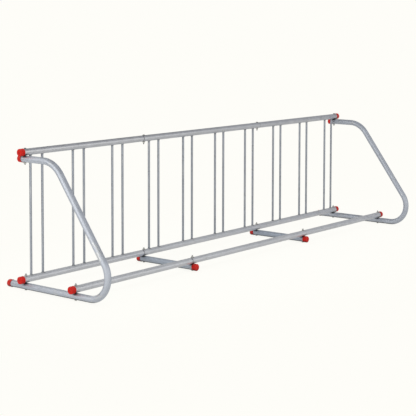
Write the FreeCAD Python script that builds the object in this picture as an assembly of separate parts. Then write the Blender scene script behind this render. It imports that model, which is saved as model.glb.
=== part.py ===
import FreeCAD, Part
import math
import os

# A single-sided floor rack for ten bicycles, bolted together from steel tube.
#
# Two long rails and twenty thin pickets make an upright grid. A third long rail lies
# on the ground in front of it. A bent hoop at each end and two short cross feet carry
# the rails. Each long rail is three sections, whose swaged ends slide into each other.
# A front wheel stands between the lower and front rails, held by a pair of pickets.
#
# Frame: +X runs along the rack, +Y towards its back, +Z up. The floor is Z = 0. The
# origin is the middle of the rack's outline on the floor. Lengths are millimetres.

Vec = FreeCAD.Vector
INCH = 25.4
X_AXIS = Vec(1, 0, 0)
Y_AXIS = Vec(0, 1, 0)
Z_AXIS = Vec(0, 0, 1)

# ---- driving dimensions -------------------------------------------------------------

tube_od = 1.375 * INCH          # every rail, hoop and foot is the same round tube
tube_wall = 2.0
picket_od = 0.5 * INCH

slot_count = 10                 # one wheel slot per bicycle
slot_pitch = 12 * INCH
picket_spacing = 82.3           # between the two pickets that hold one wheel

rail_half_length = 1486.0       # centre of the rack to a rail's bare tube end
lower_rail_extra = 5.0          # by which the rail under the pickets is longer, each end
rail_rise = 655.5               # between the axes of the lower and the top rail
front_rail_reach = 359.0        # grid plane to front rail

joint_x = 543.0                 # bolt through a rail joint, measured from the centre
joint_edge = 12.0               # that bolt to the edge of the middle section
spigot_length = 40.0            # swaged end inside the middle section
spigot_slack = 0.2              # radial clearance of the swaged end
swage_groove = 1.5              # bare spigot left showing at the seam
swage_taper = 3.0

hoop_x = 1449.4                 # plane of each end hoop
hoop_top_corner = 211.0         # grid plane forward to where leg and upper arm would meet
hoop_foot_corner = 690.0        # grid plane forward to where leg and lower arm would meet
hoop_top_bend = 150.0           # bend radii of the tube's axis
hoop_foot_bend = 117.0
upper_arm_tail = 37.0           # grid plane back to the bare end of the upper arm
lower_arm_tail = 121.5

foot_x = joint_x                # the cross feet lie under the rail joints
foot_front = 390.0              # grid plane forward to a foot's bare front end
foot_tail = 38.0

cap_wall = 2.3
cap_end = 3.5                   # thickness of a cap's closed end
cap_skirt = 22.0                # length of tube that a cap covers
cap_round = 2.6
cap_dimple_r = 4.6
cap_dimple_depth = 0.9

bolt_d = 0.25 * INCH
bolt_hole_d = 7.0
hex_flats = 11.1
hex_face_share = 0.95           # a hexagon's round face against its width over flats
hex_chamfer = 30.0              # degrees between that face and the eased corners
head_height = 4.0
nut_height = 5.6
washer_od = 15.9
washer_thickness = 1.6
crossing_bolt = 3.25 * INCH     # clamps two crossed tubes
joint_bolt = 2.0 * INCH         # pins one rail joint
thread_chamfer = 0.8

# ---- places that follow from them ---------------------------------------------------

tube_r = tube_od / 2
bore_r = tube_r - tube_wall
spigot_r = bore_r - spigot_slack
seam_x = joint_x + joint_edge

# The rack stands on the bolt heads under its arms and feet.
arm_z = head_height + tube_r
low_rail_z = arm_z + tube_od
top_rail_z = low_rail_z + rail_rise
upper_arm_z = top_rail_z - tube_od

hoop_run = hoop_foot_corner - hoop_top_corner
hoop_rise = upper_arm_z - arm_z
leg_lean = math.atan2(hoop_run, hoop_rise)
foot_tangent = hoop_foot_bend * math.tan((math.pi / 2 + leg_lean) / 2)
top_tangent = hoop_top_bend * math.tan((math.pi / 2 - leg_lean) / 2)

front_edge = hoop_foot_corner - foot_tangent + hoop_foot_bend + tube_r
rear_edge = lower_arm_tail + cap_end
grid_y = (front_edge - rear_edge) / 2
front_rail_y = grid_y - front_rail_reach

SIDES = {"left": -1, "right": 1}


# ---- shapes -------------------------------------------------------------------------

def rod(start, end, radius):
    """A solid round bar between two points."""
    run = end - start
    return Part.makeCylinder(radius, run.Length, start, run)


def tube(start, end):
    """A straight length of the rack's tube, open at both ends."""
    return rod(start, end, tube_r).cut(rod(start, end, bore_r))


def drilled(shape, places):
    """The shape with a vertical bolt hole right through it at each (x, y, z)."""
    for x, y, z in places:
        hole = rod(Vec(x, y, z - tube_od), Vec(x, y, z + tube_od), bolt_hole_d / 2)
        shape = shape.cut(hole)
    return shape


def middle_section(y, z):
    """The plain middle length of a long rail."""
    rail = tube(Vec(-seam_x, y, z), Vec(seam_x, y, z))
    return drilled(rail, [(-joint_x, y, z), (joint_x, y, z)])


def end_section(side, y, z, end_x):
    """An outer length of a long rail, necked down where it enters the middle one."""
    tip = joint_x + joint_edge - spigot_length
    neck = seam_x + swage_groove
    shoulder = neck + swage_taper
    outside = [(tip, spigot_r), (neck, spigot_r), (shoulder, tube_r), (end_x, tube_r)]
    inside = [(x, r - tube_wall) for x, r in reversed(outside)]
    corners = [Vec(side * x, y, z + r) for x, r in outside + inside]
    section = Part.Face(Part.makePolygon(corners + corners[:1]))
    rail = section.revolve(Vec(0, y, z), X_AXIS, 360)
    return drilled(rail, [(side * joint_x, y, z), (side * hoop_x, y, z)])


def picket(x):
    """An upright bar, its ends cut to saddle the two rails that they are welded to."""
    low, high = Vec(x, grid_y, low_rail_z), Vec(x, grid_y, top_rail_z)
    bar = rod(low, high, picket_od / 2)
    for centre in (low, high):
        reach = X_AXIS * picket_od
        bar = bar.cut(rod(centre - reach, centre + reach, tube_r))
    return bar


def end_hoop(side):
    """The bent tube at one end: upper arm, leaning leg and lower arm in one piece."""
    x = side * hoop_x
    forward = Vec(0, -1, 0)
    down_leg = Vec(0, -math.sin(leg_lean), -math.cos(leg_lean))
    top_corner = Vec(x, grid_y - hoop_top_corner, upper_arm_z)
    foot_corner = Vec(x, grid_y - hoop_foot_corner, arm_z)

    upper_end = Vec(x, grid_y + upper_arm_tail, upper_arm_z)
    lower_end = Vec(x, grid_y + lower_arm_tail, arm_z)
    top_in = top_corner - forward * top_tangent
    top_out = top_corner + down_leg * top_tangent
    foot_in = foot_corner - down_leg * foot_tangent
    foot_out = foot_corner - forward * foot_tangent

    top_centre = top_in - Z_AXIS * hoop_top_bend
    foot_centre = foot_out + Z_AXIS * hoop_foot_bend
    path = Part.Wire([
        Part.makeLine(upper_end, top_in),
        Part.Arc(top_in, middle_of_bend(top_centre, top_corner, hoop_top_bend), top_out).toShape(),
        Part.makeLine(top_out, foot_in),
        Part.Arc(foot_in, middle_of_bend(foot_centre, foot_corner, hoop_foot_bend), foot_out).toShape(),
        Part.makeLine(foot_out, lower_end),
    ])
    outer = Part.Wire(Part.makeCircle(tube_r, upper_end, Y_AXIS))
    inner = Part.Wire(Part.makeCircle(bore_r, upper_end, Y_AXIS))
    hoop = solid_along(path, outer).cut(solid_along(path, inner))
    return drilled(hoop, [(x, grid_y, upper_arm_z), (x, grid_y, arm_z), (x, front_rail_y, arm_z)])


def middle_of_bend(centre, corner, radius):
    """The point of a bend that lies nearest the corner that it rounds."""
    away = corner - centre
    return centre + away.normalize() * radius


def solid_along(path, outline):
    """A solid made by carrying one flat outline along a smooth path."""
    return path.makePipe(Part.Face(outline))


def cross_foot(side):
    """A short tube under the rails at a joint, from behind the grid to the front rail."""
    x = side * foot_x
    foot = tube(Vec(x, grid_y - foot_front, arm_z), Vec(x, grid_y + foot_tail, arm_z))
    return drilled(foot, [(x, grid_y, arm_z), (x, front_rail_y, arm_z)])


def end_cap(tube_end, outward):
    """A push-on plastic cap: rounded closed end, small mould dimple, short skirt."""
    radius = tube_r + cap_wall
    rim = cap_end - cap_round
    bulge = cap_round * math.sqrt(0.5)
    arc_middle = Vec(radius - cap_round + bulge, 0, rim + bulge)
    round_start = Vec(radius - cap_round, 0, cap_end)
    round_end = Vec(radius, 0, rim)
    floor = cap_end - cap_dimple_depth
    before = [Vec(0, 0, 0), Vec(0, 0, floor), Vec(cap_dimple_r - cap_dimple_depth, 0, floor),
              Vec(cap_dimple_r, 0, cap_end), round_start]
    after = [round_end, Vec(radius, 0, -cap_skirt), Vec(tube_r, 0, -cap_skirt),
             Vec(tube_r, 0, 0), Vec(0, 0, 0)]
    edges = [Part.makePolygon(before), Part.Arc(round_start, arc_middle, round_end).toShape(),
             Part.makePolygon(after)]
    section = Part.Face(Part.Wire([edge for part in edges for edge in part.Edges]))
    cap = section.revolve(Vec(0, 0, 0), Z_AXIS, 360)
    turn = FreeCAD.Rotation(Z_AXIS, outward)
    cap.Placement = FreeCAD.Placement(tube_end, turn)
    return cap


def hex_block(height, chamfer_both):
    """A hexagon standing on Z = 0, its upper corners (or both ends' corners) eased."""
    corner_r = hex_flats / 2 / math.cos(math.pi / 6)
    turns = [math.radians(a) for a in range(0, 361, 60)]
    points = [Vec(corner_r * math.cos(a), corner_r * math.sin(a), 0) for a in turns]
    block = Part.Face(Part.makePolygon(points)).extrude(Z_AXIS * height)
    face_r = hex_face_share * hex_flats / 2
    wide_r = face_r + height / math.tan(math.radians(hex_chamfer))
    block = block.common(Part.makeCone(wide_r, face_r, height))
    if chamfer_both:
        block = block.common(Part.makeCone(face_r, wide_r, height))
    return block


def bolt(length):
    """A hexagon bolt. Its head's bearing face is Z = 0 and its shank points up."""
    head = hex_block(head_height, False)
    head.rotate(Vec(0, 0, 0), X_AXIS, 180)
    bolt_r = bolt_d / 2
    # The shank starts inside the head, so that the two join into one solid.
    shank = rod(Vec(0, 0, -head_height / 2), Vec(0, 0, length - thread_chamfer), bolt_r)
    tip = Part.makeCone(bolt_r, bolt_r - thread_chamfer, thread_chamfer,
                        Vec(0, 0, length - thread_chamfer))
    return head.fuse([shank, tip]).removeSplitter()


def washer():
    """A flat washer lying on Z = 0."""
    disc = rod(Vec(0, 0, 0), Vec(0, 0, washer_thickness), washer_od / 2)
    return disc.cut(rod(Vec(0, 0, 0), Vec(0, 0, washer_thickness), bolt_hole_d / 2))


def nut():
    """A hexagon nut lying on Z = 0."""
    bore = rod(Vec(0, 0, 0), Vec(0, 0, nut_height), bolt_d / 2)
    return hex_block(nut_height, True).cut(bore)


def set_down(shape, x, y, z, direction):
    """The shape moved to a point, upright (+1) or hanging upside down (-1)."""
    if direction < 0:
        shape.rotate(Vec(0, 0, 0), X_AXIS, 180)
    shape.translate(Vec(x, y, z))
    return shape


def fastener_group(places, bolt_length, grip, direction):
    """Bolts, washers and nuts that share a size, as three lists of separate solids."""
    bolts, washers, nuts = [], [], []
    for x, y, z in places:
        far_side = z + direction * grip
        nut_seat = far_side + direction * washer_thickness
        bolts.append(set_down(bolt(bolt_length), x, y, z, direction))
        washers.append(set_down(washer(), x, y, far_side, direction))
        nuts.append(set_down(nut(), x, y, nut_seat, direction))
    return bolts, washers, nuts


# ---- the assembly -------------------------------------------------------------------

def rails():
    """Three long rails, each a middle section and two outer ones."""
    lines = {"top_rail": (grid_y, top_rail_z, rail_half_length),
             "lower_rail": (grid_y, low_rail_z, rail_half_length + lower_rail_extra),
             "front_rail": (front_rail_y, low_rail_z, rail_half_length)}
    nodes = {}
    for name, (y, z, end_x) in lines.items():
        nodes[name + "_middle"] = middle_section(y, z)
        for side_name, side in SIDES.items():
            nodes[name + "_" + side_name] = end_section(side, y, z, end_x)
            end = Vec(side * end_x, y, z)
            nodes["cap_" + name + "_" + side_name] = end_cap(end, X_AXIS * side)
    return nodes


def pickets():
    """Ten pairs of pickets, numbered from the left end."""
    nodes = {}
    for slot in range(slot_count):
        centre = (slot - (slot_count - 1) / 2) * slot_pitch
        for place, offset in enumerate((-picket_spacing / 2, picket_spacing / 2)):
            number = 2 * slot + place + 1
            nodes["picket_%02d" % number] = picket(centre + offset)
    return nodes


def supports():
    """The end hoops and cross feet with the caps on their open ends."""
    nodes = {}
    for name, side in SIDES.items():
        nodes["end_hoop_" + name] = end_hoop(side)
        nodes["cross_foot_" + name] = cross_foot(side)
        ends = {
            "cap_hoop_upper_": (side * hoop_x, grid_y + upper_arm_tail, upper_arm_z, 1),
            "cap_hoop_lower_": (side * hoop_x, grid_y + lower_arm_tail, arm_z, 1),
            "cap_foot_rear_": (side * foot_x, grid_y + foot_tail, arm_z, 1),
            "cap_foot_front_": (side * foot_x, grid_y - foot_front, arm_z, -1),
        }
        for prefix, (x, y, z, way) in ends.items():
            nodes[prefix + name] = end_cap(Vec(x, y, z), Y_AXIS * way)
    return nodes


def fasteners():
    """Bolts up through the feet and lower rails, and down through the top rail."""
    crossing_grip = 2 * tube_od
    under = arm_z - tube_r
    over = top_rail_z + tube_r
    stations = (-hoop_x, -foot_x, foot_x, hoop_x)
    groups = {
        "lower_rail": fastener_group([(x, grid_y, under) for x in stations],
                                     crossing_bolt, crossing_grip, 1),
        "front_rail": fastener_group([(x, front_rail_y, under) for x in stations],
                                     crossing_bolt, crossing_grip, 1),
        "top_ends": fastener_group([(x, grid_y, over) for x in (-hoop_x, hoop_x)],
                                   crossing_bolt, crossing_grip, -1),
        "top_joints": fastener_group([(x, grid_y, over) for x in (-joint_x, joint_x)],
                                     joint_bolt, tube_od, -1),
    }
    nodes = {}
    for group, (bolts, washers, nuts) in groups.items():
        nodes["bolts_" + group] = Part.makeCompound(bolts)
        nodes["washers_" + group] = Part.makeCompound(washers)
        nodes["nuts_" + group] = Part.makeCompound(nuts)
    return nodes


def main():
    os.makedirs("parts", exist_ok=True)
    nodes = {**rails(), **pickets(), **supports(), **fasteners()}
    for name, shape in sorted(nodes.items()):
        shape.exportStep("parts/%s.step" % name)
        print("%-22s %d solid(s) %9.0f mm3" % (name, len(shape.Solids), shape.Volume))
    everything = Part.makeCompound(list(nodes.values())).optimalBoundingBox(False, False)
    print("%d nodes, outline %.1f x %.1f x %.1f mm" % (
        len(nodes), everything.XLength, everything.YLength, everything.ZLength))


main()
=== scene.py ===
# %% [markdown]
# # A floor rack for ten bicycles
#
# The real rack is bolted together from round galvanised tube. A grid of thin pickets
# stands between two long rails, a third rail lies on the ground in front of it, and a
# bent hoop closes each end. Red push-on caps cover every open tube end. The packed
# model already holds each tube, picket, bolt and cap at its true place. This lesson
# leaves the tubes alone and adds what the eye looks for: weld beads, threads, moulded
# caps, the dull shimmer of zinc, and studio light.

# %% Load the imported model
import bpy
import bmesh
import math
from mathutils import Matrix, Vector, noise


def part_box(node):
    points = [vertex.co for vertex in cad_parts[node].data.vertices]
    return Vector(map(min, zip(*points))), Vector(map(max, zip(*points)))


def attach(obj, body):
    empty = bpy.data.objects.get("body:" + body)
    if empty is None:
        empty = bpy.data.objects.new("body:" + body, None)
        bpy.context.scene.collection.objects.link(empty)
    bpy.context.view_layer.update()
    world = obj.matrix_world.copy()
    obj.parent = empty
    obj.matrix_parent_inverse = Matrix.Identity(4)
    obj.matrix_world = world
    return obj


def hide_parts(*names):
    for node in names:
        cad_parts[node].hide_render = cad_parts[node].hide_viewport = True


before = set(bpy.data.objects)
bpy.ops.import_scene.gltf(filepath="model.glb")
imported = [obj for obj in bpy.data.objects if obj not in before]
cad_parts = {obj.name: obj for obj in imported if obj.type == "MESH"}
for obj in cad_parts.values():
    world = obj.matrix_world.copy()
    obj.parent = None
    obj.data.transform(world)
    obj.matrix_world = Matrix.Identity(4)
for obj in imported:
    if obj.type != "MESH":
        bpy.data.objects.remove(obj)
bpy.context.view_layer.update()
print("loaded", len(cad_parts), "nodes")

# %% [markdown]
# ## Measures from the model
#
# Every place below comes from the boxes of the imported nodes, so a bead or a thread
# always lands on the part that carries it. Lengths are metres and +Z is up.

# %% Read the tube, the rails and the bolt stations
MM = 0.001
SIDES = {"left": -1, "right": 1}


def middle_and_size(node):
    """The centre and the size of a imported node's box."""
    low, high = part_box(node)
    return (low + high) / 2, high - low


top_rail, top_size = middle_and_size("top_rail_middle")
low_rail, _ = middle_and_size("lower_rail_middle")
front_rail, _ = middle_and_size("front_rail_middle")
foot, _ = middle_and_size("cross_foot_right")
hoop, _ = middle_and_size("end_hoop_right")
tube_r = top_size.z / 2
picket_r = middle_and_size("picket_01")[1].x / 2
arm_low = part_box("cross_foot_right")[0].z

stations = (-hoop.x, -foot.x, foot.x, hoop.x)
print("tube radius %.2f mm, grid at y %.1f mm" % (tube_r / MM, top_rail.y / MM))

# %% [markdown]
# ## Small helpers
#
# Most added pieces are surfaces of rings: a bead, a thread, a bolt head and a cap are
# all a stack of loops joined by quads. One helper builds such a skin with bmesh from
# rows of points, and one turns the result into an object that rides on the rack.

# %% Skin and piece helpers


def skin(mesh, rows, wrap_rows=False):
    """Adds a tube-like surface through closed rows that have the same point count."""
    loops = [[mesh.verts.new(point) for point in row] for row in rows]
    pairs = list(zip(loops, loops[1:]))
    if wrap_rows:
        pairs.append((loops[-1], loops[0]))
    for lower, upper in pairs:
        count = len(lower)
        for i in range(count):
            j = (i + 1) % count
            mesh.faces.new((lower[i], lower[j], upper[j], upper[i]))
    return loops


def close_end(mesh, loop):
    """Fills a loop with a fan round its own centre."""
    centre = mesh.verts.new(sum((v.co for v in loop), Vector()) / len(loop))
    for i, vert in enumerate(loop):
        after = loop[(i + 1) % len(loop)]
        mesh.faces.new((vert, after, centre))


def make_piece(name, mesh, material, sharp_angle=35.0):
    """Turns a bmesh into a smooth-shaded piece that rides on the rack."""
    bmesh.ops.recalc_face_normals(mesh, faces=mesh.faces[:])
    data = bpy.data.meshes.new(name)
    mesh.to_mesh(data)
    mesh.free()
    data.shade_smooth()
    data.set_sharp_from_angle(angle=math.radians(sharp_angle))
    piece = bpy.data.objects.new(name, data)
    bpy.context.scene.collection.objects.link(piece)
    data.materials.append(material)
    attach(piece, "root")
    return piece


print("mesh helpers: skin, close_end, make_piece")

# %% [markdown]
# ## Helpers for node trees
#
# A material is a tree of nodes. Placing a node, setting its options and linking its
# inputs takes many lines of plain Python, so a few helpers do each job in one call. A
# node group is a tree of its own with named sockets. Several materials can share it,
# each with its own values.

# %% Node helpers


def place(tree, kind, inputs=None, **settings):
    """Adds a node, applies its settings, and fills or links its inputs."""
    node = tree.nodes.new(kind)
    for name, value in settings.items():
        setattr(node, name, value)
    for name, value in (inputs or {}).items():
        if isinstance(value, bpy.types.NodeSocket):
            tree.links.new(value, node.inputs[name])
        else:
            node.inputs[name].default_value = value
    return node


def math_node(tree, operation, a, b=0.0, c=0.0, clamp=False):
    """The output of one Math node."""
    node = place(tree, "ShaderNodeMath", {0: a, 1: b, 2: c}, operation=operation)
    node.use_clamp = clamp
    return node.outputs[0]


def layer(tree, mask, under, over):
    """The colour of one coat painted over another wherever the mask is white."""
    node = place(tree, "ShaderNodeMix", {"Factor": mask, 6: under, 7: over}, data_type="RGBA")
    return node.outputs[2]


def new_group(name, inputs, outputs):
    """An empty shader node group with named sockets, and its two end nodes."""
    tree = bpy.data.node_groups.new(name, "ShaderNodeTree")
    for socket, (kind, value) in inputs.items():
        made = tree.interface.new_socket(socket, in_out="INPUT", socket_type="NodeSocket" + kind)
        if value is not None:
            made.default_value = value
    for socket in outputs:
        tree.interface.new_socket(socket, in_out="OUTPUT", socket_type="NodeSocketFloat")
    return tree, tree.nodes.new("NodeGroupInput").outputs, tree.nodes.new("NodeGroupOutput").inputs


def use_group(tree, group, inputs):
    """Places a node group in a material and returns its outputs."""
    node = tree.nodes.new("ShaderNodeGroup")
    node.node_tree = group
    for name, value in inputs.items():
        if isinstance(value, bpy.types.NodeSocket):
            tree.links.new(value, node.inputs[name])
        else:
            node.inputs[name].default_value = value
    return node.outputs


print("node helpers: place, math_node, layer, new_group, use_group")

# %% [markdown]
# ## Zinc mottle
#
# Hot zinc freezes on steel in flat crystals a few millimetres wide, each a little
# lighter or darker than the next, under a broader cloudiness. A Voronoi texture gives
# one random value per crystal and a noise texture gives the clouds. Tubes, pickets and
# welds all wear zinc, so this is a group that each material tunes for itself.

# %% Group: zinc mottle
zinc_mottle, take, give = new_group(
    "zinc mottle",
    {"Position": ("Vector", None), "Crystals per metre": ("Float", 170.0),
     "Clouds per metre": ("Float", 22.0), "Contrast": ("Float", 0.12)},
    ["Tone", "Crystal", "Cloud"])
crystals = place(zinc_mottle, "ShaderNodeTexVoronoi",
                 {"Vector": take["Position"], "Scale": take["Crystals per metre"]})
crystal = place(zinc_mottle, "ShaderNodeSeparateColor", {"Color": crystals.outputs["Color"]})
clouds = place(zinc_mottle, "ShaderNodeTexNoise",
               {"Vector": take["Position"], "Scale": take["Clouds per metre"], "Detail": 3.0})
both = math_node(zinc_mottle, "MULTIPLY_ADD", crystal.outputs[0], 0.35, clouds.outputs[0])
centred = math_node(zinc_mottle, "SUBTRACT", both, 0.675)
tone = math_node(zinc_mottle, "MULTIPLY_ADD", centred, take["Contrast"], 1.0)
zinc_mottle.links.new(tone, give["Tone"])
zinc_mottle.links.new(crystal.outputs[0], give["Crystal"])
zinc_mottle.links.new(clouds.outputs[0], give["Cloud"])
print("group", zinc_mottle.name)

# %% [markdown]
# ## Drawn lines
#
# Tube and bar are pulled through rollers and dies, which leave faint lines along their
# length. Squeezing a noise texture in two directions and stretching it in the third
# gives such lines. The stretch is an input, because rails, feet and pickets each run a
# different way.

# %% Group: drawn lines
drawn_lines, take, give = new_group(
    "drawn lines",
    {"Position": ("Vector", None), "Stretch": ("Vector", None), "Sharpness": ("Float", 2.0)},
    ["Lines"])
squeezed = place(drawn_lines, "ShaderNodeVectorMath",
                 {0: take["Position"], 1: take["Stretch"]}, operation="MULTIPLY")
strands = place(drawn_lines, "ShaderNodeTexNoise",
                {"Vector": squeezed.outputs[0], "Scale": 1.0, "Detail": 4.0, "Roughness": 0.6})
offset = math_node(drawn_lines, "SUBTRACT", strands.outputs[0], 0.5)
lines = math_node(drawn_lines, "MULTIPLY_ADD", offset, take["Sharpness"], 0.5, clamp=True)
drawn_lines.links.new(lines, give["Lines"])
print("group", drawn_lines.name)

# %% [markdown]
# ## Scuffs
#
# Handling leaves thin rub marks. They could be painted as an image, but noise does it
# without one: it is stretched hard along one direction and cut off high, so that only a
# few streaks are left.

# %% Group: scuffs
scuffs, take, give = new_group(
    "scuffs",
    {"Position": ("Vector", None), "Stretch": ("Vector", None), "Amount": ("Float", 0.3)},
    ["Mask"])
raked = place(scuffs, "ShaderNodeVectorMath",
              {0: take["Position"], 1: take["Stretch"]}, operation="MULTIPLY")
streaks = place(scuffs, "ShaderNodeTexNoise",
                {"Vector": raked.outputs[0], "Scale": 1.0, "Detail": 2.0, "Distortion": 0.4})
patches = place(scuffs, "ShaderNodeTexNoise",
                {"Vector": take["Position"], "Scale": 9.0, "Detail": 1.0})
sum_up = math_node(scuffs, "MULTIPLY_ADD", patches.outputs[0], 0.5, streaks.outputs[0])
limit = math_node(scuffs, "MULTIPLY_ADD", take["Amount"], -0.25, 1.0)
over = math_node(scuffs, "SUBTRACT", sum_up, limit)
mask = math_node(scuffs, "MULTIPLY", over, 12.0, clamp=True)
scuffs.links.new(mask, give["Mask"])
print("group", scuffs.name)

# %% [markdown]
# ## Settled dust
#
# Dust lies where a surface looks up. The upward part of the normal gives that, and a
# fine noise breaks it up, because dust never lies evenly. On the tubes this pale coat is
# also a painted light on their upper sides.

# %% Group: settled dust and painted top light
dust_and_top_light, take, give = new_group(
    "settled dust", {"Position": ("Vector", None), "Amount": ("Float", 0.2)}, ["Mask"])
facing = place(dust_and_top_light, "ShaderNodeNewGeometry")
parts = place(dust_and_top_light, "ShaderNodeSeparateXYZ", {0: facing.outputs["Normal"]})
upward = place(dust_and_top_light, "ShaderNodeMapRange",
               {"Value": parts.outputs[2], "From Min": 0.35, "From Max": 1.0},
               interpolation_type="SMOOTHSTEP")
specks = place(dust_and_top_light, "ShaderNodeTexNoise",
               {"Vector": take["Position"], "Scale": 60.0, "Detail": 5.0, "Roughness": 0.7})
lying = math_node(dust_and_top_light, "MULTIPLY", upward.outputs[0], specks.outputs[0])
mask = math_node(dust_and_top_light, "MULTIPLY", lying, take["Amount"], clamp=True)
dust_and_top_light.links.new(mask, give["Mask"])
print("group", dust_and_top_light.name)

# %% [markdown]
# ## Worn edges
#
# Corners lose their coat first. The Bevel node gives a normal that is rounded near an
# edge, so it differs from the true normal only there, and the difference is the mask.

# %% Group: worn edge
worn_edge, take, give = new_group(
    "worn edge", {"Width": ("Float", 0.0006), "Strength": ("Float", 1.0)}, ["Mask"])
rounded = place(worn_edge, "ShaderNodeBevel", {"Radius": take["Width"]}, samples=4)
true_normal = place(worn_edge, "ShaderNodeNewGeometry")
likeness = place(worn_edge, "ShaderNodeVectorMath",
                 {0: rounded.outputs[0], 1: true_normal.outputs["Normal"]},
                 operation="DOT_PRODUCT")
turned = math_node(worn_edge, "SUBTRACT", 1.0, likeness.outputs["Value"])
mask = math_node(worn_edge, "MULTIPLY", turned, take["Strength"], clamp=True)
worn_edge.links.new(mask, give["Mask"])
print("group", worn_edge.name)

# %% [markdown]
# ## Crevice grime
#
# This is painted shade: the colour goes dark where two parts press together or nearly
# touch the ground, where shade falls. The Ambient Occlusion node finds such places: it
# measures how much of the space near a point is filled, and a noise makes the shade
# uneven. This painted shade also draws the thin dark line at each joint of the rails.

# %% Group: painted crevice shade
painted_crevice_shade, take, give = new_group(
    "painted crevice shade",
    {"Position": ("Vector", None), "Reach": ("Float", 0.03), "Amount": ("Float", 1.0)},
    ["Mask"])
space = place(painted_crevice_shade, "ShaderNodeAmbientOcclusion", {"Distance": take["Reach"]}, samples=8)
filled = math_node(painted_crevice_shade, "SUBTRACT", 1.0, space.outputs["AO"])
shade_noise = place(painted_crevice_shade, "ShaderNodeTexNoise",
               {"Vector": take["Position"], "Scale": 120.0, "Detail": 3.0})
uneven = math_node(painted_crevice_shade, "MULTIPLY_ADD", shade_noise.outputs[0], 0.5, 0.75)
patchy_shade = math_node(painted_crevice_shade, "MULTIPLY", filled, uneven)
mask = math_node(painted_crevice_shade, "MULTIPLY", patchy_shade, take["Amount"], clamp=True)
painted_crevice_shade.links.new(mask, give["Mask"])
print("group", painted_crevice_shade.name)

# %% [markdown]
# ## Galvanised steel
#
# Dull zinc is a metal with a soft, broad highlight: metallic, fairly rough, cool grey.
# The mottle shifts both its brightness and its roughness, because a crystal that looks
# darker also reflects less sharply. The drawn lines give a shallow bump. The coats lie
# in this order: zinc, rub marks, pale dust that is also a painted light on upward faces,
# and a painted shade in crevices. One function makes the finish for any direction of
# drawing and any tint.

# %% Material: galvanised steel
RUBBED_ZINC = (0.74, 0.75, 0.76, 1.0)
# Pale dust colour, also a painted light on the upward faces of the tubes.
PALE_DUST_AND_TOP_LIGHT = (0.66, 0.65, 0.62, 1.0)
# Near-black painted shade for crevices and where parts meet.
PAINTED_SHADE_BLACK = (0.035, 0.036, 0.038, 1.0)
TUBE_SHADE_REACH = 0.015
LINE_SHADE = 0.06
CLOUD_ROUGH = 0.16
CRYSTAL_ROUGH = 0.07
RUBBED_ROUGH = -0.10
DUST_ROUGH = 0.35
DUST_METAL = -0.6
LINE_RELIEF = 0.6


def galvanised(name, tint, stretch, roughness, metallic=0.62, contrast=0.24,
               crystals=170.0, dust=0.25, painted_shade=1.3):
    """A zinc-coated steel whose drawn lines run along the small part of stretch."""
    material = bpy.data.materials.new(name)
    material.use_nodes = True
    tree = material.node_tree
    shader = tree.nodes["Principled BSDF"]
    where = place(tree, "ShaderNodeTexCoord").outputs["Object"]
    mottle = use_group(tree, zinc_mottle, {
        "Position": where, "Crystals per metre": crystals, "Contrast": contrast})
    draw = use_group(tree, drawn_lines, {"Position": where, "Stretch": stretch})
    rubbed = use_group(tree, scuffs, {
        "Position": where, "Stretch": tuple(2.5 * v for v in stretch), "Amount": 0.5})
    # Pale dust on upward faces, also a painted light on the tubes' upper sides.
    dust_and_light_mask = use_group(tree, dust_and_top_light, {"Position": where, "Amount": dust})
    # Painted shade: ambient occlusion darkens the colour in crevices and near the ground.
    crevice_shading = use_group(tree, painted_crevice_shade, {
        "Position": where, "Reach": TUBE_SHADE_REACH, "Amount": painted_shade})

    shade = math_node(tree, "MULTIPLY_ADD", draw["Lines"], LINE_SHADE, mottle["Tone"])
    zinc = place(tree, "ShaderNodeVectorMath", {0: tint, "Scale": shade}, operation="SCALE")
    bright = layer(tree, rubbed["Mask"], zinc.outputs[0], RUBBED_ZINC)
    coated = layer(tree, dust_and_light_mask["Mask"], bright, PALE_DUST_AND_TOP_LIGHT)
    shaded = layer(tree, crevice_shading["Mask"], coated, PAINTED_SHADE_BLACK)
    tree.links.new(shaded, shader.inputs["Base Color"])

    cloudy = math_node(tree, "MULTIPLY_ADD", mottle["Cloud"], CLOUD_ROUGH,
                       roughness - CLOUD_ROUGH / 2)
    grained = math_node(tree, "MULTIPLY_ADD", mottle["Crystal"], CRYSTAL_ROUGH, cloudy)
    worn = math_node(tree, "MULTIPLY_ADD", rubbed["Mask"], RUBBED_ROUGH, grained)
    dull = math_node(tree, "MULTIPLY_ADD", dust_and_light_mask["Mask"], DUST_ROUGH, worn, clamp=True)
    tree.links.new(dull, shader.inputs["Roughness"])
    metal = math_node(tree, "MULTIPLY_ADD", dust_and_light_mask["Mask"], DUST_METAL, metallic)
    tree.links.new(metal, shader.inputs["Metallic"])

    relief = math_node(tree, "MULTIPLY_ADD", draw["Lines"], LINE_RELIEF, mottle["Crystal"])
    bump = place(tree, "ShaderNodeBump", {
        "Strength": 0.18, "Distance": 0.00012, "Height": relief})
    tree.links.new(bump.outputs[0], shader.inputs["Normal"])
    return material


print("galvanised finish ready, grime reaches", TUBE_SHADE_REACH / MM, "mm")

# %% [markdown]
# ## One zinc for each kind of tube
#
# No two kinds of tube share a grey. The cross feet are the darkest and bluest tubes, and
# their dark grey is partly a painted shade from the lower rail over them. The pickets are
# smooth bar that mirrors its surroundings, and the two low rails carry the dust that
# tyres throw up, a pale coat that is also a painted light on their upper sides. A weld
# keeps a rough, patchy coat.

# %% Galvanised finishes
RAIL_TINT = (0.73, 0.742, 0.785)
HOOP_TINT = (0.60, 0.635, 0.71)
# The feet's dark grey is partly a painted shade from the lower rail over them.
SHADED_FOOT_TINT = (0.48, 0.53, 0.61)
PICKET_TINT = (0.43, 0.46, 0.52)
WELD_TINT = (0.46, 0.47, 0.49)
ALONG_X = (2.0, 260.0, 260.0)
ALONG_Y = (260.0, 2.0, 260.0)
ALONG_Z = (420.0, 420.0, 3.0)
ROUND_HOOP = (260.0, 14.0, 14.0)
NO_WAY = (150.0, 150.0, 150.0)

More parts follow.
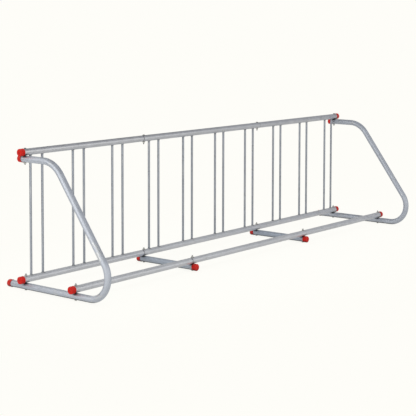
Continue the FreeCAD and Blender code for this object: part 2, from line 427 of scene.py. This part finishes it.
rail_zinc = galvanised("galvanised rail tube", RAIL_TINT, ALONG_X, 0.35, metallic=0.84,
                       dust=0.12)
# The heavy pale dust on the low rails is also a painted light on their upper sides.
low_zinc = galvanised("galvanised low rail tube", RAIL_TINT, ALONG_X, 0.38, metallic=0.72,
                      dust=0.75)
foot_zinc = galvanised("galvanised foot tube", SHADED_FOOT_TINT, ALONG_Y, 0.48, metallic=0.60)
hoop_zinc = galvanised("galvanised hoop tube", HOOP_TINT, ROUND_HOOP, 0.46, metallic=0.76,
                       contrast=0.18, crystals=320.0)
picket_zinc = galvanised("galvanised picket bar", PICKET_TINT, ALONG_Z, 0.27, metallic=0.92,
                         contrast=0.22, crystals=240.0, dust=0.1)
weld_zinc = galvanised("zinc over weld", WELD_TINT, NO_WAY, 0.5, contrast=0.5, crystals=500.0)
zincs = (rail_zinc, low_zinc, foot_zinc, hoop_zinc, picket_zinc, weld_zinc)
print("zinc materials", [material.name for material in zincs])

# %% [markdown]
# ## Zinc plate
#
# The bolts, nuts and washers are electroplated: smoother than the tubes, with corners
# that spanners have rubbed bright. The top rail's four bolts get a dark tint and the
# other fasteners a bright one, so one function makes the finish in two tints.

# %% Material: zinc plate
WORN_PLATE = (0.62, 0.63, 0.64, 1.0)
PLATE_DUST = (0.36, 0.34, 0.30, 1.0)
PLATE_PAINTED_SHADE = (0.05, 0.048, 0.044, 1.0)


def zinc_plate(name, tint):
    """Plated steel for the fasteners."""
    material = bpy.data.materials.new(name)
    material.use_nodes = True
    tree = material.node_tree
    shader = tree.nodes["Principled BSDF"]
    where = place(tree, "ShaderNodeTexCoord").outputs["Object"]
    mottle = use_group(tree, zinc_mottle, {
        "Position": where, "Crystals per metre": 900.0, "Clouds per metre": 160.0,
        "Contrast": 0.35})
    edge = use_group(tree, worn_edge, {"Width": 0.0005, "Strength": 3.0})
    dust_and_light_mask = use_group(tree, dust_and_top_light, {"Position": where, "Amount": 0.3})
    # Painted shade in crevices and where the fastener meets the tube.
    crevice_shading = use_group(tree, painted_crevice_shade, {"Position": where, "Reach": 0.006, "Amount": 1.0})
    plate = place(tree, "ShaderNodeVectorMath", {
        0: tint, "Scale": mottle["Tone"]}, operation="SCALE")
    rubbed = layer(tree, edge["Mask"], plate.outputs[0], WORN_PLATE)
    coated = layer(tree, dust_and_light_mask["Mask"], rubbed, PLATE_DUST)
    shaded = layer(tree, crevice_shading["Mask"], coated, PLATE_PAINTED_SHADE)
    tree.links.new(shaded, shader.inputs["Base Color"])
    rough = math_node(tree, "MULTIPLY_ADD", mottle["Cloud"], 0.25, 0.20)
    dull = math_node(tree, "MULTIPLY_ADD", dust_and_light_mask["Mask"], 0.4, rough, clamp=True)
    tree.links.new(dull, shader.inputs["Roughness"])
    shader.inputs["Metallic"].default_value = 1.0
    bump = place(tree, "ShaderNodeBump", {
        "Strength": 0.12, "Distance": 0.00005, "Height": mottle["Cloud"]})
    tree.links.new(bump.outputs[0], shader.inputs["Normal"])
    return material


dark_plate = zinc_plate("dark zinc plate", (0.24, 0.24, 0.235))
bright_plate = zinc_plate("bright zinc plate", (0.78, 0.78, 0.75))
print("materials", dark_plate.name, "and", bright_plate.name)

# %% [markdown]
# ## Red moulded plastic
#
# The caps are soft moulded plastic, bright red with a satin shine. Its skin has the
# faint orange-peel of a mould, edges go paler where they have been knocked, and dust
# clings to the upper side.

# %% Material: red cap plastic
DEEP_RED = (0.66, 0.010, 0.005, 1.0)
CLEAR_RED = (0.82, 0.018, 0.008, 1.0)
KNOCKED_RED = (0.78, 0.10, 0.07, 1.0)
SCRAPED_RED = (0.80, 0.22, 0.18, 1.0)
RED_DUST = (0.45, 0.33, 0.28, 1.0)
RED_PAINTED_SHADE = (0.06, 0.004, 0.004, 1.0)


def cap_plastic(name):
    """Satin red plastic with a moulded skin."""
    material = bpy.data.materials.new(name)
    material.use_nodes = True
    tree = material.node_tree
    shader = tree.nodes["Principled BSDF"]
    where = place(tree, "ShaderNodeTexCoord").outputs["Object"]
    clouds = place(tree, "ShaderNodeTexNoise", {"Vector": where, "Scale": 70.0, "Detail": 3.0})
    peel = place(tree, "ShaderNodeTexNoise", {"Vector": where, "Scale": 1400.0, "Detail": 2.0})
    edge = use_group(tree, worn_edge, {"Width": 0.0012, "Strength": 1.2})
    rubbed = use_group(tree, scuffs, {
        "Position": where, "Stretch": (420.0, 300.0, 90.0), "Amount": 0.4})
    dust_and_light_mask = use_group(tree, dust_and_top_light, {"Position": where, "Amount": 0.12})
    # Painted shade where the cap meets the tube and near the ground.
    crevice_shading = use_group(tree, painted_crevice_shade, {"Position": where, "Reach": 0.025, "Amount": 1.0})
    red = layer(tree, clouds.outputs[0], DEEP_RED, CLEAR_RED)
    knocked = layer(tree, math_node(tree, "MULTIPLY", edge["Mask"], 0.5), red, KNOCKED_RED)
    scraped = layer(tree, math_node(tree, "MULTIPLY", rubbed["Mask"], 0.25), knocked,
                    SCRAPED_RED)
    coated = layer(tree, dust_and_light_mask["Mask"], scraped, RED_DUST)
    shaded = layer(tree, crevice_shading["Mask"], coated, RED_PAINTED_SHADE)
    tree.links.new(shaded, shader.inputs["Base Color"])
    satin = math_node(tree, "MULTIPLY_ADD", clouds.outputs[0], 0.14, 0.30)
    scratched = math_node(tree, "MULTIPLY_ADD", rubbed["Mask"], 0.2, satin)
    dull = math_node(tree, "MULTIPLY_ADD", dust_and_light_mask["Mask"], 0.5, scratched, clamp=True)
    tree.links.new(dull, shader.inputs["Roughness"])
    bump = place(tree, "ShaderNodeBump", {
        "Strength": 0.12, "Distance": 0.00008, "Height": peel.outputs[0]})
    tree.links.new(bump.outputs[0], shader.inputs["Normal"])
    shader.inputs["IOR"].default_value = 1.50
    shader.inputs["Specular IOR Level"].default_value = 0.22
    return material


cap_red = cap_plastic("red cap plastic")
print("material", cap_red.name)

# %% [markdown]
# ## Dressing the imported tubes
#
# The tubes' shapes are right as they are, so they only get materials. A node's name
# says what it is. The words are tried in the order of this list, so that a cap on a
# rail counts as a cap and not as a rail.

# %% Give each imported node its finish
finishes = {"cap": cap_red, "bolts": dark_plate, "nuts": bright_plate,
            "washers": bright_plate, "picket": picket_zinc, "hoop": hoop_zinc,
            "foot": foot_zinc, "top_rail": rail_zinc, "lower_rail": low_zinc,
            "front_rail": low_zinc}
for name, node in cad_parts.items():
    word = next(word for word in finishes if word in name)
    for index in range(len(node.data.materials)):
        node.data.materials[index] = finishes[word]
print("finishes given to", len(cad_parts), "nodes")

# %% [markdown]
# ## Weld beads
#
# Each picket is welded all round where it meets a rail. The seam isn't flat: it
# follows the saddle where two round bars cross. Each bead is a ring of small circles
# carried along that saddle, swelling and shrinking as a welder's puddles do, and a
# little noise keeps any two from being alike.

# %% Weld beads round the picket ends
BEAD_R = 2.4 * MM
BEAD_STEPS = 60
BEAD_SIDES = 8
PUDDLES = 13
THINNEST = 0.82
SWELL = 0.16


def weld_bead(mesh, x, rail, side, seed):
    """One rippled bead round a picket end. side is +1 above the rail, -1 below it."""
    rows = []
    for step in range(BEAD_STEPS):
        turn = 2 * math.pi * step / BEAD_STEPS
        out = Vector((math.cos(turn), math.sin(turn), 0))
        wobble = noise.noise(Vector((3 * out.x, 3 * out.y, seed)))
        ripple = abs(math.sin(PUDDLES * turn / 2 + seed))
        size = BEAD_R * (THINNEST + SWELL * ripple + SWELL * wobble)
        foot_y = picket_r * out.y
        seat = math.sqrt(tube_r ** 2 - foot_y ** 2)
        base = Vector((x, rail.y, rail.z + side * seat)) + out * picket_r
        rise = Vector((0, foot_y / tube_r, side * seat / tube_r))
        row = []
        for k in range(BEAD_SIDES):
            roll = 2 * math.pi * k / BEAD_SIDES
            row.append(base + out * size * math.cos(roll) + rise * size * math.sin(roll))
        rows.append(row)
    skin(mesh, rows, wrap_rows=True)


def picket_centres(section):
    """The X of each picket that stands on one section of a rail."""
    low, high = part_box("lower_rail_" + section)
    centres = []
    for number in range(1, 21):
        x = middle_and_size("picket_%02d" % number)[0].x
        if low.x < x < high.x:
            centres.append(x)
    return centres


for section in ("left", "middle", "right"):
    for rail_name, rail, side in (("top", top_rail, -1), ("lower", low_rail, 1)):
        beads = bmesh.new()
        for count, x in enumerate(picket_centres(section)):
            weld_bead(beads, x, rail, side, seed=7.3 * count + side)
        make_piece("welds_%s_%s" % (rail_name, section), beads, weld_zinc,
                   sharp_angle=60)
print("weld beads on", sum(len(picket_centres(s)) for s in ("left", "middle", "right")), "pickets")

# %% [markdown]
# ## Bolts and nuts
#
# A hexagon head isn't a plain prism: its corners are turned off by a shallow cone,
# which leaves a round face and curved edges. In polar form that is easy. The radius
# follows the flats, and the chamfer lowers each point by how far it lies outside the
# round face. The thread is a surface whose radius rises and falls as it climbs, by the
# height above a helix. Real threads are cut this way too, so it needs no modifier.

# %% Hexagon and thread profiles
BOLT_D = 6.35 * MM
PITCH = 1.27 * MM
THREAD_DEPTH = 0.62 * PITCH
HEX_FLATS = 11.1 * MM
HEAD_HEIGHT = 4.0 * MM
NUT_HEIGHT = 5.6 * MM
CHAMFER = math.tan(math.radians(30))
ROUND_FACE = 0.95 * HEX_FLATS / 2
HEX_STEPS = 72
THREAD_STEPS = 24
THREADED = 24.0 * MM


def hex_radius(turn):
    """Distance from the centre to the hexagon's side in one direction."""
    sector = math.radians(60)
    return HEX_FLATS / 2 / math.cos((turn % sector) - sector / 2)


def hex_ring(height, drop):
    """A ring round the hexagon at a height. drop is 1 or -1 for a chamfer, 0 for none."""
    ring = []
    for step in range(HEX_STEPS):
        turn = 2 * math.pi * step / HEX_STEPS
        radius = hex_radius(turn)
        eased = height - drop * (radius - ROUND_FACE) * CHAMFER
        ring.append(Vector((radius * math.cos(turn), radius * math.sin(turn), eased)))
    return ring


def circle(radius, height, steps=HEX_STEPS):
    """A level ring of points."""
    return [Vector((radius * math.cos(2 * math.pi * i / steps),
                    radius * math.sin(2 * math.pi * i / steps), height))
            for i in range(steps)]


print("hexagon across corners %.2f mm" % (2 * hex_radius(0) / MM))

# %% Build one bolt and one nut
NUT_MOUTH = 0.45 * MM
NUT_LEAD = 0.5 * MM
RUN_OUT = 0.8


def add_bolt(mesh, length):
    """A bolt whose bearing face is z = 0, head below it and thread above."""
    rows = [circle(BOLT_D / 2, 0), circle(ROUND_FACE, 0), hex_ring(0, 0),
            hex_ring(-HEAD_HEIGHT, -1), circle(ROUND_FACE, -HEAD_HEIGHT)]
    loops = skin(mesh, rows)
    close_end(mesh, loops[-1])

    outer = BOLT_D / 2
    start = length - THREADED
    rows = [circle(outer, 0, THREAD_STEPS), circle(outer, start, THREAD_STEPS)]
    levels = int(THREADED / (PITCH / 4))
    for level in range(1, levels + 1):
        z = start + THREADED * level / levels
        ring = []
        for step in range(THREAD_STEPS):
            turn = step / THREAD_STEPS
            phase = (z / PITCH - turn) % 1.0
            cut = THREAD_DEPTH * abs(2 * phase - 1)
            run_out = max(0.0, z - (length - PITCH)) * RUN_OUT
            radius = outer - cut - run_out
            ring.append(Vector((radius * math.cos(2 * math.pi * turn),
                                radius * math.sin(2 * math.pi * turn), z)))
        rows.append(ring)
    loops = skin(mesh, rows)
    close_end(mesh, loops[-1])


def add_nut(mesh):
    """A nut standing on z = 0, chamfered at both faces."""
    bore_r = BOLT_D / 2
    mouth_r = bore_r + NUT_MOUTH
    rows = [circle(bore_r, NUT_LEAD), circle(mouth_r, 0), circle(ROUND_FACE, 0),
            hex_ring(0, -1), hex_ring(NUT_HEIGHT, 1),
            circle(ROUND_FACE, NUT_HEIGHT), circle(mouth_r, NUT_HEIGHT),
            circle(bore_r, NUT_HEIGHT - NUT_LEAD)]
    skin(mesh, rows, wrap_rows=True)


def put(target, build, spin, place_at, upside_down):
    """Builds a fastener in its own mesh, turns it, sets it in place, and joins it."""
    part = bmesh.new()
    build(part)
    turn = Matrix.Rotation(spin, 4, "Z")
    if upside_down:
        turn = Matrix.Rotation(math.pi, 4, "X") @ turn
    bmesh.ops.transform(part, matrix=Matrix.Translation(place_at) @ turn, verts=part.verts[:])
    data = bpy.data.meshes.new("part")
    part.to_mesh(data)
    part.free()
    target.from_mesh(data)
    bpy.data.meshes.remove(data)


print("nut bore %.2f mm" % (BOLT_D / MM))

# %% [markdown]
# ## Setting the fasteners
#
# The bolts of the low rails come up from under an arm or a foot, and their nuts sit on
# the rail. The bolts of the top rail go down from above and their nuts hang. Nobody
# lines up the flats of a nut, so each fastener is turned by its own angle.

# %% Set the fasteners at their stations
FIRST_SPIN = math.radians(17)
NEXT_SPIN = math.radians(23)
NUT_SPIN = 0.3
seat_top = top_rail.z + tube_r
GROUPS = {
    "lower_rail": [(x, low_rail.y, arm_low, False) for x in stations],
    "front_rail": [(x, front_rail.y, arm_low, False) for x in stations],
    "top_ends": [(x, top_rail.y, seat_top, True) for x in (-hoop.x, hoop.x)],
    "top_joints": [(x, top_rail.y, seat_top, True) for x in (-foot.x, foot.x)],
}
for group, seats in GROUPS.items():
    bolt_finish = dark_plate if group.startswith("top") else bright_plate
    bolt_low, bolt_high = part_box("bolts_" + group)
    length = bolt_high.z - bolt_low.z - HEAD_HEIGHT
    nut_low, nut_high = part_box("nuts_" + group)
    bolts, nuts = bmesh.new(), bmesh.new()
    for index, (x, y, z, hanging) in enumerate(seats):
        spin = FIRST_SPIN + NEXT_SPIN * index
        put(bolts, lambda mesh: add_bolt(mesh, length), spin, Vector((x, y, z)), hanging)
        seat = nut_high.z if hanging else nut_low.z
        put(nuts, add_nut, spin + NUT_SPIN, Vector((x, y, seat)), hanging)
    piece = make_piece("threaded_bolts_" + group, bolts, bolt_finish)
    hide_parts("bolts_" + group)
    piece = make_piece("chamfered_nuts_" + group, nuts, bright_plate)
    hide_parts("nuts_" + group)
    print("%s: %d bolts, %.1f mm long" % (group, len(seats), length / MM))

# %% [markdown]
# ## Moulded end caps
#
# Each cap is a short cup turned from one outline: a domed end with a shallow dimple
# where the plastic entered the mould, a soft shoulder, a straight skirt and a small
# bead round the open rim. A cylinder with a bevel would miss the dimple and the bead.
# So the outline is listed once in radius and height, rounded where the mould is
# rounded, and turned about the tube's axis.

# %% Outline of a cap
CAP_STEPS = 72
DIMPLE_R = 4.4 * MM
DIMPLE_DEPTH = 0.9 * MM
SHOULDER_R = 2.8 * MM
RIM_BEAD = 0.45 * MM
RIM_R = 0.8 * MM
GROOVE_IN = 2.2 * MM
GROOVE_OUT = 1.8 * MM
DOME = 0.5 * MM
LIP_R = 0.6 * MM
GATE_R = 0.8 * MM
GATE_HEIGHT = 0.35 * MM
INSIDE = 6.0 * MM


def quarter(centre_r, centre_z, radius, start, stop, steps=6):
    """Points of an arc in the outline's plane, angles in degrees."""
    points = []
    for i in range(steps + 1):
        angle = math.radians(start + (stop - start) * i / steps)
        points.append((centre_r + radius * math.cos(angle), centre_z + radius * math.sin(angle)))
    return points


def cap_outline(outer_r, inner_r, top, bottom):
    """Radius and height of each point of the cap's outline, from its middle outwards."""
    skirt_r = outer_r - RIM_BEAD
    pit = top - DOME - DIMPLE_DEPTH
    points = [(GATE_R, pit + GATE_HEIGHT), (1.3 * MM, pit)]
    points += [(DIMPLE_R - 1.0 * MM, pit), (DIMPLE_R, pit + 0.7 * MM)]
    points += quarter(DIMPLE_R + LIP_R, top - LIP_R, LIP_R, 150, 90, 4)
    flat_r = skirt_r - SHOULDER_R
    points += quarter(flat_r, top - DOME - SHOULDER_R + 0.3 * MM, SHOULDER_R, 82, 0, 9)
    points += [(skirt_r, bottom + GROOVE_IN), (skirt_r + 0.25 * MM, bottom + GROOVE_OUT)]
    points += quarter(outer_r - RIM_R, bottom + RIM_R, RIM_R, 0, -90, 4)
    points += [(inner_r, bottom), (inner_r, bottom + INSIDE)]
    return points


print("cap outline has", len(cap_outline(20 * MM, 17 * MM, 0, -25 * MM)), "points")

# %% Turn the outline into each cap


def moulded_cap(name, axis, way):
    """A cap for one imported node. axis is 0 for X or 1 for Y, way is +1 or -1."""
    centre, size = middle_and_size(name)
    outer_r = size.z / 2
    length = size[axis]
    tube_end = centre.copy()
    tube_end[axis] += way * length / 2
    direction = Vector((0, 0, 0))
    direction[axis] = way
    turn = direction.to_track_quat("Z", "Y").to_matrix().to_4x4()
    mesh = bmesh.new()
    rows = []
    for radius, height in cap_outline(outer_r, tube_r, 0.0, -length):
        rows.append(circle(radius, height, CAP_STEPS))
    loops = skin(mesh, rows)
    close_end(mesh, loops[0])
    bmesh.ops.transform(mesh, matrix=Matrix.Translation(tube_end) @ turn, verts=mesh.verts[:])
    piece = make_piece("moulded_" + name, mesh, cap_red, sharp_angle=50)
    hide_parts(name)
    return piece


caps = []
for side_name, way in SIDES.items():
    for rail_name in ("top_rail", "lower_rail", "front_rail"):
        caps.append(moulded_cap("cap_%s_%s" % (rail_name, side_name), 0, way))
    for end_name, end_way in (("hoop_upper", 1), ("hoop_lower", 1), ("foot_rear", 1),
                              ("foot_front", -1)):
        caps.append(moulded_cap("cap_%s_%s" % (end_name, side_name), 1, end_way))
print(len(caps), "moulded caps")

# %% [markdown]
# ## Camera
#
# The photograph was taken from beyond the left end, in front of the rack, from about
# twice the height of its top rail. Its lines were matched to find the place, the three
# angles and the lens. The camera looks almost level, which keeps the pickets upright,
# and its lens is shifted down, so the axis meets the picture well above the middle.

# %% Camera
CAMERA_PLACE = Vector((-5.59574, -4.27601, 1.39379))
YAW = math.radians(51.3337)
PITCH_DOWN = math.radians(3.728)
ROLL = math.radians(-0.1276)
FRAME_PX = 416
FOCAL_PX = 1195.43
AXIS_ROW_PX = 96.13
SENSOR = 36.0

forward = Vector((math.sin(YAW) * math.cos(PITCH_DOWN), math.cos(YAW) * math.cos(PITCH_DOWN),
                  -math.sin(PITCH_DOWN)))
level_right = Vector((math.cos(YAW), -math.sin(YAW), 0))
level_down = forward.cross(level_right)
right = math.cos(ROLL) * level_right + math.sin(ROLL) * level_down
down = -math.sin(ROLL) * level_right + math.cos(ROLL) * level_down

camera = bpy.data.objects.new("camera", bpy.data.cameras.new("camera"))
bpy.context.scene.collection.objects.link(camera)
bpy.context.scene.camera = camera
turned = Matrix((right, -down, -forward)).transposed().to_4x4()
camera.matrix_world = Matrix.Translation(CAMERA_PLACE) @ turned
camera.data.sensor_width = SENSOR
camera.data.lens = FOCAL_PX * SENSOR / FRAME_PX
camera.data.shift_y = -(FRAME_PX / 2 - AXIS_ROW_PX) / FRAME_PX
print("lens %.1f mm, shift %.3f" % (camera.data.lens, camera.data.shift_y))

# %% [markdown]
# ## Background
#
# The picture has a plain warm white ground. The world is that white to the camera and
# in reflections. As a light it is a softer grey that fades upwards, so that it doesn't
# flood the metal. Turning the lamps up until the ground is white would bleach the zinc.

# %% World
PAPER = (0.991, 0.983, 0.939, 1.0)
SKY = (0.94, 0.97, 1.0, 1.0)
SKY_LOW = 0.95
SKY_HIGH = 0.50
world = bpy.data.worlds.new("studio")
bpy.context.scene.world = world
world.use_nodes = True
tree = world.node_tree
tree.nodes.clear()
ray = place(tree, "ShaderNodeLightPath").outputs
seen = math_node(tree, "MAXIMUM", ray["Is Camera Ray"], ray["Is Glossy Ray"])
seen = math_node(tree, "MAXIMUM", seen, ray["Is Transmission Ray"])
compass = place(tree, "ShaderNodeTexCoord").outputs["Generated"]
aim = place(tree, "ShaderNodeSeparateXYZ", {0: compass})
level = place(tree, "ShaderNodeMapRange", {
    "Value": aim.outputs[2], "To Min": SKY_LOW, "To Max": SKY_HIGH})
soft = place(tree, "ShaderNodeBackground", {"Color": SKY, "Strength": level.outputs[0]})
page = place(tree, "ShaderNodeBackground", {"Color": PAPER, "Strength": 1.0})
either = place(tree, "ShaderNodeMixShader", {0: seen, 1: soft.outputs[0], 2: page.outputs[0]})
place(tree, "ShaderNodeOutputWorld", {"Surface": either.outputs[0]})
print("world", world.name)

# %% [markdown]
# ## Floor
#
# The floor is mostly glow to the camera and only a little plain surface, so it is paper
# white and still keeps a faint shadow. The plain share fades out away from the rack,
# and the glow is lifted a little where it is strongest, so that no edge shows. To the
# metal the floor is dimmer, and dimmer still to the right, because the undersides of
# the tubes are grey in the picture.

# %% Floor
FLOOR_R = 14.0
SHADOW_SHARE = 0.14
SHADOW_LIFT = 0.06
SHADOW_LENGTH = 2.6
SHADOW_DEPTH = 1.3
FADE_FROM = 0.25
FADE_TO = 1.0
MIRROR_LEFT = 0.88
MIRROR_RIGHT = 0.50
DIM_FROM = -1.9
DIM_TO = -1.3
PLAIN_FLOOR = (0.92, 0.91, 0.87, 1.0)
floor_mesh = bmesh.new()
bmesh.ops.create_circle(floor_mesh, cap_ends=True, segments=96, radius=FLOOR_R)
floor_data = bpy.data.meshes.new("floor")
floor_mesh.to_mesh(floor_data)
floor_mesh.free()
floor = bpy.data.objects.new("floor", floor_data)
bpy.context.scene.collection.objects.link(floor)

paper_floor = bpy.data.materials.new("paper floor")
paper_floor.use_nodes = True
tree = paper_floor.node_tree
tree.nodes.clear()
ray = place(tree, "ShaderNodeLightPath").outputs
seen = math_node(tree, "MAXIMUM", ray["Is Camera Ray"], ray["Is Glossy Ray"])
seen = math_node(tree, "MAXIMUM", seen, ray["Is Transmission Ray"])
spot = place(tree, "ShaderNodeTexCoord").outputs["Object"]
squashed = place(tree, "ShaderNodeVectorMath", {
    0: spot, 1: (1 / SHADOW_LENGTH, 1 / SHADOW_DEPTH, 0)}, operation="MULTIPLY")
reach = place(tree, "ShaderNodeVectorMath", {0: squashed.outputs[0]}, operation="LENGTH")
near = place(tree, "ShaderNodeMapRange", {
    "Value": reach.outputs["Value"], "From Min": FADE_TO, "From Max": FADE_FROM},
    interpolation_type="SMOOTHSTEP")
lifted = math_node(tree, "MULTIPLY_ADD", near.outputs[0], SHADOW_LIFT, 1.0)
across = place(tree, "ShaderNodeSeparateXYZ", {0: spot}).outputs[0]
mirrored = place(tree, "ShaderNodeMapRange", {
    "Value": across, "From Min": DIM_FROM, "From Max": DIM_TO, "To Min": MIRROR_LEFT,
    "To Max": MIRROR_RIGHT})
dimmed = place(tree, "ShaderNodeMix", {
    0: ray["Is Glossy Ray"], 2: lifted, 3: mirrored.outputs[0]})
glow = place(tree, "ShaderNodeEmission", {"Color": PAPER, "Strength": dimmed.outputs[0]})
plain = place(tree, "ShaderNodeBsdfDiffuse", {"Color": PLAIN_FLOOR})
hidden = math_node(tree, "MULTIPLY_ADD", near.outputs[0], -SHADOW_SHARE, 1.0)
share = math_node(tree, "MULTIPLY", seen, hidden)
mixed = place(tree, "ShaderNodeMixShader", {0: share, 1: plain.outputs[0], 2: glow.outputs[0]})
place(tree, "ShaderNodeOutputMaterial", {"Surface": mixed.outputs[0]})
floor_data.materials.append(paper_floor)
print("floor radius", FLOOR_R, "m")

# %% [markdown]
# ## Lamps
#
# Two wide, weak lamps give the tubes their form. The key stands low at the left end,
# where the hoop shows its brightest line, and the other hangs high above.

# %% Lamps


def soft_box(name, place_at, aim, size, power, colour):
    """A square lamp that points at one spot."""
    lamp = bpy.data.lights.new(name, "AREA")
    lamp.shape = "RECTANGLE"
    lamp.size, lamp.size_y = size
    lamp.energy = power
    lamp.color = colour
    holder = bpy.data.objects.new(name, lamp)
    bpy.context.scene.collection.objects.link(holder)
    holder.location = place_at
    holder.visible_camera = False
    holder.rotation_mode = "QUATERNION"
    holder.rotation_quaternion = (Vector(aim) - Vector(place_at)).to_track_quat("-Z", "Y")
    return holder


soft_box("key", (-4.6, 0.7, 1.35), (-1.4, 0, 0.35), (1.4, 1.2), 11, (1.0, 0.995, 0.98))
soft_box("top", (-1.0, -1.5, 6.5), (0, 0, 0), (5.0, 3.0), 60, (0.97, 0.985, 1.0))
print("lamps set")

# %% [markdown]
# ## Grey cards
#
# Bright metal on a white page mirrors only white, and its edges vanish. Photographers
# stand grey cards out of sight for it to mirror. Cards behind the rack darken the tops
# of the rails and the left edges of the pickets, cards at the right and overhead darken
# the middle of each tube. Only reflections see them, so they cast no shadow and no
# light.

# %% Grey cards
CARDS = {
    "low back card": ((-2.8, 2, -0.2), (1.1, 2, 0.72), 0.10),
    "far back card": ((1.1, 2, -0.2), (10, 2, 1.1), 0.60),
    "high back card": ((0.9, 2, 1.1), (3.5, 2, 3.5), 0.04),
    "high far card": ((3.5, 2, 1.1), (10, 2, 3.5), 0.22),
    "left card": ((-2.3, 0.85, 0), (-2.3, 2, 0.72), 0.12),
    "right card": ((5, -4, -0.2), (5, 2, 7), 0.30),
    "high card": ((-5, -6, 5), (6, 3, 5), 0.20),
    "over card": ((-3.7, -4, 3.2), (-0.3, 1, 3.2), 0.12),
    "over far card": ((-1.5, 1, 3.2), (1.5, 3.6, 3.2), 0.06),
}


def card_corners(low, high):
    """The four corners of a flat rectangle between two opposite corners."""
    first, second = [axis for axis in range(3) if low[axis] != high[axis]]
    side, rise = Vector(low), Vector(low)
    side[first] = high[first]
    rise[second] = high[second]
    return [Vector(low), side, Vector(high), rise]


def grey_card(name, corners, shade):
    """A card seen only by reflections: it glows evenly, so it adds no noise."""
    mesh = bmesh.new()
    mesh.faces.new([mesh.verts.new(corner) for corner in corners])
    data = bpy.data.meshes.new(name)
    mesh.to_mesh(data)
    mesh.free()
    card = bpy.data.objects.new(name, data)
    bpy.context.scene.collection.objects.link(card)
    material = bpy.data.materials.new(name)
    material.use_nodes = True
    tree = material.node_tree
    tree.nodes.clear()
    glow = place(tree, "ShaderNodeEmission", {"Color": (shade, shade, 1.04 * shade, 1.0)})
    place(tree, "ShaderNodeOutputMaterial", {"Surface": glow.outputs[0]})
    data.materials.append(material)
    card.visible_camera = False
    card.visible_diffuse = False
    card.visible_shadow = False
    card.visible_transmission = False


for card_name, (low, high, shade) in CARDS.items():
    grey_card(card_name, card_corners(low, high), shade)
print(len(CARDS), "grey cards")

# %% [markdown]
# ## Last steps
#
# The colours are meant to be seen as written, so the view transform is Standard.

# %% View transform
bpy.context.scene.view_settings.view_transform = "Standard"
